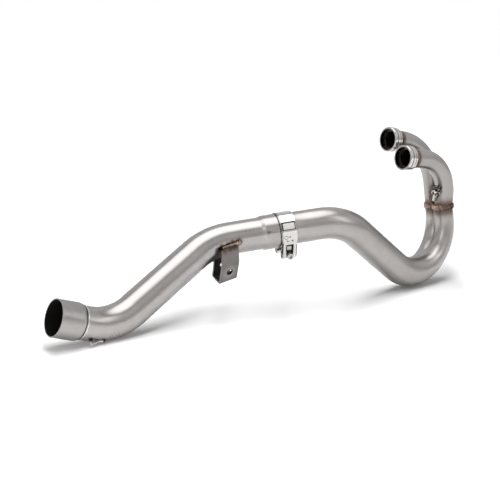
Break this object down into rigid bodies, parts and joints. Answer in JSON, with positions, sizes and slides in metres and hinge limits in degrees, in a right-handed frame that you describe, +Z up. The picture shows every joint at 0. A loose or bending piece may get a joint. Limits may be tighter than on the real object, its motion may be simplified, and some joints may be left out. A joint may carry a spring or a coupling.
{
  "type": "motorcycle exhaust header",
  "caption": "Motorcycle exhaust header in stainless tube: paired inlet collars, ring-welded collector, clamped slip joint, folded bracket and silencer socket",
  "frame": {"origin": "centre of the near inlet collar's mouth", "axes": "+X forward along the machine, from the outlet end to the bends under the ports; +Y to the far side, where the second port is; +Z up"},
  "size_m": [0.7454, 0.1199, 0.2673],
  "materials": {
    "tube": "satin",
    "polished": "gloss",
    "sheet": "satin",
    "plug": "gloss",
    "weld": "satin"
  },
  "bodies": {
    "root": {"inlet_collar_near": "polished", "inlet_collar_far": "polished", "collar_weld_near": "weld", "collar_weld_far": "weld", "primary_tube_near": "tube", "primary_tube_far": "tube", "seam_weld_rear": "weld", "seam_weld_front": "weld", "test_port_boss": "polished", "test_port_plug": "plug", "collector_weld": "weld", "down_pipe": "tube", "link_pipe": "tube", "clamp_band": "polished", "clamp_bar_plain": "polished", "clamp_bar_threaded": "polished", "clamp_bolt": "polished", "mount_bracket": "sheet", "bracket_weld_near": "weld", "bracket_weld_far": "weld", "outlet_sleeve": "tube", "sleeve_weld": "weld", "spring_hook": "polished", "hook_weld": "weld"}
  },
  "joints": []
}
